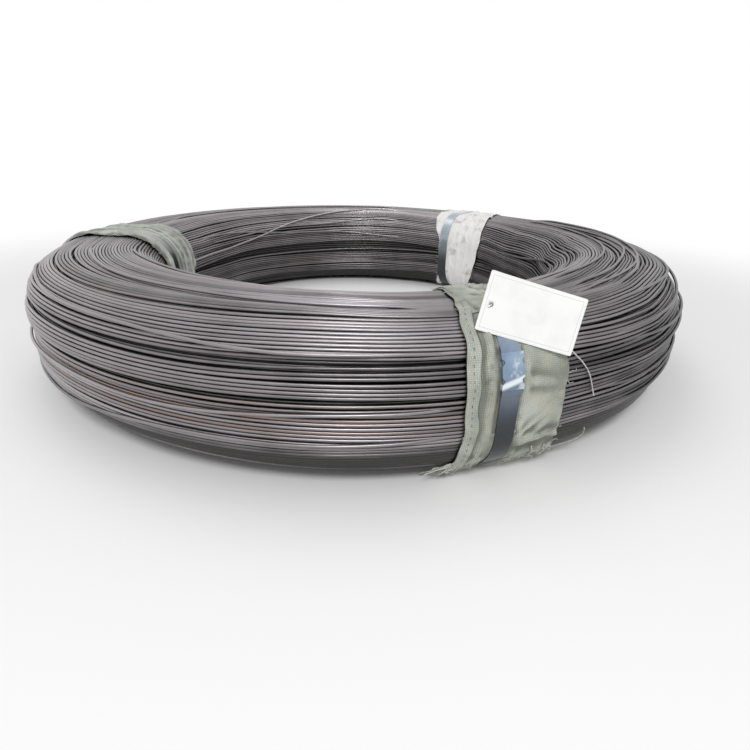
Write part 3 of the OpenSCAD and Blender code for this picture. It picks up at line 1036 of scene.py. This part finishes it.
def folds_long(s, across, rng, places, height):
    """Folds that run along the strap, as of bunched cloth, with short creases between them."""
    total = 0.0
    for place in places:
        middle = place + LONG_SWAY * waves(s, rng, (170, 74))
        size = height * (LONG_SIZE[0] + LONG_SIZE[1] * waves(s, rng, (120, 57)))
        total = total + np.maximum(size, LONG_LEAST) * hump(across - middle, rng.uniform(*LONG_W))
    crumple = waves(s + 0.7 * across, rng, (33, 21, 14)) * waves(across - 0.3 * s, rng, (41, 27))
    return total + CRUMPLE_H * (1 + crumple) * step(np.abs(across), STRAP_CLEAR, CRUMPLE_RUN)


def pad_height(name, s, across, edges, rng):
    """How far the cloth's outside stands off the crests."""
    low, high = edges
    if name == "front":
        folds = folds_front(s, across, low, rng)
    else:
        folds = folds_long(s, across, rng, *LONG_FOLDS[name])
    if name == "left":
        thick = ROLL_H * (ROLL_LEAST + (1 - ROLL_LEAST) * near(np.mod(s, PERIMETER), *ROLL_S))
        folds = folds + thick * hump(across - high + ROLL_IN, ROLL_W)
    beside = np.abs(across) - STRAP_W / 2
    puff_h, puff_off, puff_w = PUFF
    puff = puff_h * hump(beside - puff_off, puff_w) * (0.7 + 0.3 * waves(s, rng, (63, 31)))
    edge = np.minimum(across - low, high - across)
    lift_h, lift_in = LIFT
    lift = lift_h * smooth(1 - edge / lift_in) * np.maximum(waves(s, rng, (88, 47, 29)), 0)
    free = CLOTH_IN + CLOTH_T + folds + puff + lift
    height = UNDER_STRAP + (free - UNDER_STRAP) * step(beside, *FREE_START)
    return height + (BEHIND_SEAL - height) * seal_zone(s, across)


def cloth_sheet(name, tie, s, across, outside, inside, crease, weave_at=0):
    """A thin closed sheet of a tie's cloth, with its places on the weave in metres and the painted shade of
    its creases.
    """
    outer, inner = (over_bundle(TIES[tie][0], s, across, out)[0] for out in (outside, inside))
    # By the floor the cloth's inside is kept above its outside
    lift = np.maximum(inner[..., 2], outer[..., 2] + SIDE_GAP)
    inner[..., 2] = np.where(outer[..., 2] < BY_FLOOR, lift, inner[..., 2])
    points, faces = shell(outer, inner)
    uv = np.tile(np.stack([across + weave_at, s], -1).reshape(-1, 2) * MM, (2, 1))
    return mesh_object(name, points, faces, CLOTH[tie], uv=uv, crease=np.tile(crease.ravel(), 2))


def make_pad(name, seed):
    rng = np.random.default_rng(seed)
    length = PERIMETER + LAP
    along = np.linspace(0, length, PAD_ROWS)
    along, sideways = np.meshgrid(along, np.linspace(-1, 1, PAD_COLUMNS), indexing="ij")
    # Uneven torn ends and edges
    end_rows = np.exp(-along / END_RUN)
    s = CLOTH_END[name] + along + END_TORN * waves(sideways, rng, (0.9, 0.37, 0.21)) * end_rows
    if name == "front":
        lower = END_RIGHT * step(sideways, *END_RIGHT_FROM) + END_LEFT * step(-sideways, *END_LEFT_FROM)
        s = s - lower * end_rows
    left, right = pad_edges(name, s, rng)
    across = left + (sideways + 1) / 2 * (right - left)
    beside = np.abs(across) - STRAP_W / 2
    height = pad_height(name, s, across, (left, right), rng)
    # The visible end lies on top of the other one
    over = 1 - step(along, LAP, LAP_FADE)
    below = step(along, *LAP_BELOW)
    height = np.where(beside > LAP_BESIDE, np.maximum(height, over * LAP_OUT), height)
    height = height + (CLOTH_IN + CLOTH_T - height) * below
    roll_h, roll_w = END_ROLL
    height = height + roll_h * hump(along, roll_w) * step(beside, *END_ROLL_START)
    thick = np.where(seal_zone(s, across) > SEAL_LIMIT, SEALED_T, CLOTH_T)
    inside = np.maximum(height - thick, LEAST_IN)
    # Painted shade in the creases, and on the front a painted shadow along the hem's inner edge
    crease = painted_crease_shade(height, *PAD_BLUR)
    if name == "front":
        crease = np.maximum(crease, hump(across - left - hem_share(left) * HEM_W, HEM_SHADOW_W))
    piece = cloth_sheet(f"cloth_{name}", name, s, across, height, inside, crease)
    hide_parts(f"pad_{name}")
    grid = {"s": s, "across": across, "height": height}
    extra = [make_fringe(name, grid, rng)]
    if name == "front":
        extra += make_hem(grid, rng) + [make_flap(grid, rng)]


YARN_D = 0.75
YARN_STEPS = 10
YARN_SIDES = 5
# How much a thread curls, for its length, sways off the cloth, and gets thinner
YARN_CURL = 0.22
YARN_SWAY = 0.8
YARN_TAPER = 0.4
# Threads along a cloth's end and along its two edges: number tried, spread of their run, lengths and lifts
END_THREADS = (70, 0.45, (6, 24), (0, 3))
SIDE_THREADS = (80, 0.6, (3, 9), (0, 1.5))
# How far in a thread of the end begins, rows without threads at the other end, and share left out at the hem
END_IN = 1.5
BARE_ROWS = 30
HEM_BARE = 0.75
# Tufts of thick loose yarn on the front cloth: s, across, spread, count, run, lengths and thickness
TUFTS = [
    (76, -37, 4, 14, (-0.7, -0.8), (12, 28), 1.9), (72, -27, 6, 9, (-1, -0.25), (10, 22), 1.7),
    (84, 50, 7, 9, (-1, 0.35), (10, 22), 1.3),
]
# Heights at which the tufts' yarn begins, its lifts, and spread of its run
TUFT_OUT = (1.5, 3.5)
TUFT_LIFT = (1, 6)
TUFT_SPREAD = (0.15, 0.35)
# The one long thread at the front cloth's right foot: s, across and out
LONG_THREAD = [(72, 54, 2), (68, 72, 3), (67, 88, 4), (73, 100, 4.5), (83, 104, 4), (94, 100, 3)]
LONG_THREAD_D = 1.1


def yarn(tie, start, run, length, lift, rng, thick=YARN_D):
    """One loose thread: it leaves the cloth along run, in s and across, and curls as it goes."""
    at = np.linspace(0, 1, YARN_STEPS)
    curl = YARN_CURL * length * waves(at, rng, (1.1, 0.6)) * at
    s = start[0] + run[0] * length * at - run[1] * curl
    across = start[1] + run[1] * length * at + run[0] * curl
    out = start[2] + lift * at ** 1.5 + YARN_SWAY * np.abs(waves(at, rng, (0.8, 0.45))) * at
    points, outward = over_bundle(tie, s, across, np.maximum(out, thick), thick / 2)
    return tube(points, outward, thick / 2 * (1 - YARN_TAPER * at), YARN_SIDES)


def make_fringe(name, grid, rng):
    """Loose threads along the cloth's visible end and, shorter ones, along its two edges."""
    tie = TIES[name][0]
    s, across = grid["s"], grid["across"]
    middle = grid["height"] - CLOTH_T / 2
    parts = []

    def thread(start, run, lengths, lifts, thick=YARN_D):
        parts.append(yarn(tie, start, run, rng.uniform(*lengths), rng.uniform(*lifts), rng, thick))

    tried, spread, *sizes = END_THREADS
    for _ in range(tried):
        j = rng.integers(PAD_COLUMNS)
        if abs(across[0, j]) < STRAP_W / 2 + 2:
            continue
        start = (s[0, j] + END_IN, across[0, j], middle[0, j])
        thread(start, (-1, rng.normal(0, spread)), *sizes)
    tried, spread, *sizes = SIDE_THREADS
    for _ in range(tried):
        side = rng.integers(2)
        i = rng.integers(2, PAD_ROWS - BARE_ROWS)
        if name == "front" and side == 0 and rng.uniform() < HEM_BARE:
            continue
        column, way = ((0, -1), (-1, 1))[side]
        start = (s[i, column], across[i, column] - way, middle[i, column])
        thread(start, (rng.normal(0, spread), way), *sizes)
    if name == "front":
        for tuft_s, tuft_across, spread, count, run, lengths, thick in TUFTS:
            for _ in range(count):
                place = (tuft_s + rng.normal(0, spread / 3), tuft_across + rng.normal(0, spread))
                start = (*place, rng.uniform(*TUFT_OUT))
                way = [part + rng.normal(0, off) for part, off in zip(run, TUFT_SPREAD)]
                thread(start, way, lengths, TUFT_LIFT, thick)
        knots = np.array(LONG_THREAD, float)
        at = np.linspace(0, 1, 4 * YARN_STEPS)
        bends = np.linspace(0, 1, len(knots))
        line = [np.polyval(np.polyfit(bends, knots[:, axis], 3), at) for axis in range(3)]
        points, outward = over_bundle(tie, *line)
        parts.append(tube(points, outward, LONG_THREAD_D / 2, YARN_SIDES))
    points, faces = joined(parts)
    return mesh_object(f"cloth_{name}_fringe", points, faces, yarn_look)


# The hem: thickness, how much fuller its fold is, points round it, and rows of the pad's that it stops short
HEM_T = 3.2
HEM_FULL = 0.9
HEM_POINTS = 20
HEM_SHORT = 14
# How far it reaches past the cloth's edge, and the height of its underside
HEM_OUT = 1.2
HEM_BASE = CLOTH_IN + CLOTH_T + 0.1
# Powers that square its section, across and up, and how much its width and its height vary
HEM_POWERS = (0.7, 0.6)
HEM_VARIES = (0.08, 0.25)
STITCH_PITCH = 6.5
STITCH_L = 2.8
STITCH_D = 0.9
STITCH_POINTS = 7
# How far the stitches draw the hem in and their ends go down, and how far under the hem's top they lie
STITCH_DENT = 0.8
STITCH_SUNK = 0.65
# Width of the line that they draw in, bare length at the hem's ends, least share of the hem's width that is
# stitched, and how far a stitch strays along and across
STITCH_LINE = 1.6
STITCH_MARGIN = 6
STITCHED_SHARE = 0.95
STITCH_STRAY = (0.4, 0.3)


def make_hem(grid, rng):
    """Folded hem along the front cloth's left edge, with a row of stitches."""
    tie = TIES["front"][0]
    rows = PAD_ROWS - HEM_SHORT
    s = grid["s"][:rows, 0]
    left = grid["across"][:rows, 0] - HEM_OUT
    turn = np.linspace(0, 2 * math.pi, HEM_POINTS, endpoint=False)
    wide = HEM_W / 2 * np.sign(np.cos(turn)) * np.abs(np.cos(turn)) ** HEM_POWERS[0]
    high = HEM_T / 2 * np.sign(np.sin(turn)) * np.abs(np.sin(turn)) ** HEM_POWERS[1]
    size = 1 + HEM_VARIES[0] * waves(s, rng, (61, 29))
    puffed = 1 + HEM_VARIES[1] * waves(s, rng, (43, 23, 11))
    share = hem_share(left)
    across = left[:, None] + share[:, None] * (HEM_W / 2 + wide[None] * size[:, None])
    # The stitches draw the hem in along its middle
    dent = STITCH_DENT * hump(wide, STITCH_LINE) * (high > 0)
    # It is thickest where its fold lies, away from the cloth's edge
    fuller = np.where(high > 0, 1 + HEM_FULL * wide / HEM_W, 1)
    out = (HEM_T / 2 + (high * fuller - dent)[None] * puffed[:, None]) * np.sqrt(share[:, None])
    out = HEM_BASE + out
    around = np.repeat(s[:, None], HEM_POINTS, 1)
    points, _ = over_bundle(tie, around, across, out)
    ring = np.arange(HEM_POINTS)
    caps = np.array([ring, (rows - 1) * HEM_POINTS + ring[::-1]])
    uv = np.stack([across, around], -1).reshape(-1, 2) * MM
    quads = grid_faces(rows, HEM_POINTS, wrap=True)[:, ::-1]
    hem = mesh_object("cloth_front_hem", points.reshape(-1, 3), [quads, caps], CLOTH["front"], uv=uv)
    parts = []
    at = np.linspace(-1, 1, STITCH_POINTS)
    for place in np.arange(s[2] + STITCH_MARGIN, s[-1] - STITCH_MARGIN, STITCH_PITCH):
        if np.interp(place, s, share) < STITCHED_SHARE:
            continue
        line_s = place + at * STITCH_L / 2 + rng.normal(0, STITCH_STRAY[0])
        line_across = np.interp(line_s, s, left) + HEM_W / 2 + rng.normal(0, STITCH_STRAY[1])
        line_out = HEM_BASE + HEM_T - STITCH_SUNK - STITCH_DENT * np.abs(at) ** 3
        points, outward = over_bundle(tie, line_s, line_across, line_out, STITCH_D / 2)
        parts.append(tube(points, outward, STITCH_D / 2, YARN_SIDES))
    points, faces = joined(parts)
    return [hem, mesh_object("cloth_front_stitches", points, faces, stitching)]


# The front cloth's corner that is turned back over the strap on top of the bundle: first and last s, right
# edge, thickness, and height over the strap
FLAP_FROM = 224
FLAP_TO = 350
FLAP_RIGHT = 26
FLAP_T = 0.7
FLAP_COLUMNS = 26
ABOVE_STRAP = 3.0
# How far beside the strap it is still held up, and how that fades
BESIDE_STRAP = (9, 8)
# How far it goes under the hem, how uneven its right edge is, its gap to the cloth, the height and run of its
# crumples, and the cells round a crease for its painted shade
FLAP_TUCK = 2.5
FLAP_WAVE = 2.5
FLAP_GAP = 0.15
FLAP_CRUMPLE = 0.7
FLAP_RUN = 8
FLAP_BLUR = (3, 2)
# Its weave lies this far off on the cloth, clear of the painted shade beside the strap
FLAP_WEAVE = 100


def make_flap(grid, rng):
    rows = (grid["s"][:, 0] > FLAP_FROM) & (grid["s"][:, 0] < FLAP_TO)
    s, under, below = (grid[key][rows] for key in ("s", "across", "height"))
    left = under[:, :1] + hem_share(under[:, :1]) * HEM_W - FLAP_TUCK
    right = FLAP_RIGHT + FLAP_WAVE * waves(s[:, :1], rng, (61, 29))
    across = left + np.linspace(0, 1, FLAP_COLUMNS) * (right - left)
    s = np.repeat(s[:, :1], FLAP_COLUMNS, 1)
    inside = np.stack([np.interp(*row) for row in zip(across, under, below)]) + FLAP_GAP
    reach, fading = BESIDE_STRAP
    inside = np.maximum(inside, ABOVE_STRAP * smooth((STRAP_W / 2 + reach - np.abs(across)) / fading))
    crumple = waves(s + 0.9 * across, rng, (46, 27)) * waves(across - 0.5 * s, rng, (37, 23))
    inside = inside + FLAP_CRUMPLE * (1 + crumple) * step(across, left, FLAP_RUN)
    # Painted shade in the flap's creases
    crease = painted_crease_shade(inside, *FLAP_BLUR)
    flap = cloth_sheet("cloth_front_flap", "front", s, across, inside + FLAP_T, inside, crease, FLAP_WEAVE)
    return flap


for number, tie_name in enumerate(TIES):
    make_pad(tie_name, PAD_SEED + number)


# Card tag: a thin curled sheet with its punched hole

TAG_TURN = 7
TAG_LEAN = 17.5
TAG_ROLL = 17
CARD_CORNER_R = 1.5
CARD_HOLE = (-37, -2)
CARD_HOLE_R = 2
HOLE_BLOCK = 4
CARD_CURL = 1.1
CARD_NOD = 0.4


def make_tag():
    columns, rows = CARD_W + 1, CARD_H + 1
    x, y = np.meshgrid(np.arange(columns) - CARD_W / 2, np.arange(rows) - CARD_H / 2)
    flat = np.stack([x.ravel(), y.ravel()], -1)
    # Round the corners
    centre = np.array([CARD_W / 2, CARD_H / 2]) - CARD_CORNER_R
    past = np.abs(flat) - centre
    corner = (past > 0).all(axis=1)
    reach = np.linalg.norm(past[corner], axis=1, keepdims=True)
    rounded = past[corner] * past[corner].max(axis=1, keepdims=True) / reach
    flat[corner] = np.sign(flat[corner]) * (centre + rounded)
    # Leave out a square of cells and join its rim to the round hole
    quads = grid_faces(rows, columns)
    middles = flat[quads].mean(axis=1)
    inside = (np.abs(middles - CARD_HOLE) < HOLE_BLOCK).all(axis=1)
    quads = quads[~inside]
    off = flat - CARD_HOLE
    square = np.where(np.isclose(np.abs(off).max(axis=1), HOLE_BLOCK))[0]
    square = square[np.argsort(np.arctan2(off[square, 1], off[square, 0]))]
    hole = len(flat) + np.arange(len(square))
    circle = off[square] / np.linalg.norm(off[square], axis=1, keepdims=True) * CARD_HOLE_R + CARD_HOLE
    flat = np.concatenate([flat, circle])
    ring = np.stack([square, np.roll(square, -1), np.roll(hole, -1), hole], -1)
    face = np.concatenate([quads, ring])
    way = turned((TAG_TURN, "Z"), (-TAG_LEAN, "X"), (TAG_ROLL, "Y")).to_3x3()
    along, into, up = np.array(way).T
    low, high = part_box("tag_card")
    middle = np.array((low + high) / 2) / MM
    x, y = (flat / np.array([CARD_W / 2, CARD_H / 2])).T
    bend = CARD_CURL * (0.9 * x ** 2 - 0.3) + CARD_NOD * y ** 3
    front = middle + flat[:, :1] * along + flat[:, 1:] * up - (bend[:, None] + CARD_T / 2) * into
    back = front + CARD_T * into
    count = len(flat)
    edges = [wall(loop, count) for loop in (rim(rows, columns), hole[::-1])]
    faces = np.concatenate([face, face[:, ::-1] + count, *edges])
    uv = np.concatenate([flat, flat]) * MM
    piece = mesh_object("tag", np.concatenate([front, back]), [faces], card, uv=uv)
    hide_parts("tag_card")


make_tag()


# Straps, seals and binding wire keep their solids

def paint(node, finish):
    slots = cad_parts[node].data.materials
    slots.clear()
    slots.append(finish)


for tie_name in TIES:
    paint(f"strap_{tie_name}", STRAP_STEEL[tie_name])
    paint(f"seal_{tie_name}", seal_steel)
paint("tag_wire", zinc)


# Stage and light, in metres

FLOOR_R = 6.0
FLOOR_SIDES = 96
FLOOR_COLOUR = (0.93, 0.93, 0.93)
# Distances between which the floor fades to white
FADE_FROM = 0.62
FADE_TO = 1.5
AMBIENT = 0.57


def camera_or_mirror(look):
    """1 for the camera and for what shows in metal or glass, 0 for light that falls on things."""
    path = look.add("LightPath").outputs
    seen = look.maths("MAXIMUM", path["Is Camera Ray"], path["Is Glossy Ray"])
    return look.maths("MAXIMUM", seen, path["Is Transmission Ray"])


def add_floor():
    bpy.ops.mesh.primitive_circle_add(vertices=FLOOR_SIDES, radius=FLOOR_R, fill_type="NGON")
    floor = bpy.context.object
    floor.name = "floor"
    made, look = material("floor")
    look.shade({"Base Color": FLOOR_COLOUR, "Roughness": 0.9, "Specular IOR Level": 0.0})
    far = look.add("VectorMath", operation="LENGTH")
    look.put(look.add("NewGeometry").outputs["Position"], far.inputs[0])
    fade = look.fade(far.outputs["Value"], FADE_FROM, FADE_TO)
    amount = look.times(fade, camera_or_mirror(look))
    shader = look.tree.nodes["Principled BSDF"]
    white = look.add("Emission", Strength=1.0)
    blend = look.add("MixShader")
    for socket, source in zip(blend.inputs, (amount, shader.outputs[0], white.outputs[0])):
        look.put(source, socket)
    look.put(blend.outputs[0], look.tree.nodes["Material Output"].inputs["Surface"])
    floor.data.materials.append(made)


def add_world():
    world = bpy.data.worlds.new("studio")
    bpy.context.scene.world = world
    world.use_nodes = True
    look = Nodes(world.node_tree)
    background = look.tree.nodes["Background"]
    look.put((1, 1, 1), background.inputs["Color"])
    look.put(look.line(camera_or_mirror(look), 1 - AMBIENT, AMBIENT), background.inputs["Strength"])


def add_lamp(name, place, target, size, power):
    data = bpy.data.lights.new(name, "AREA")
    data.shape = "DISK"
    data.size = size
    data.energy = power
    lamp = new_object(name, data)
    lamp.location = place
    lamp.rotation_euler = (Vector(target) - Vector(place)).to_track_quat("-Z", "Y").to_euler()


add_floor()
add_world()
add_lamp("key", place=(-0.04, -1.88, 1.95), target=(0, -0.2, 0.08), size=0.7, power=26)
add_lamp("top", place=(-0.4, 0.6, 2.4), target=(0, 0, 0), size=1.4, power=8)
bpy.context.scene.view_settings.view_transform = "Standard"
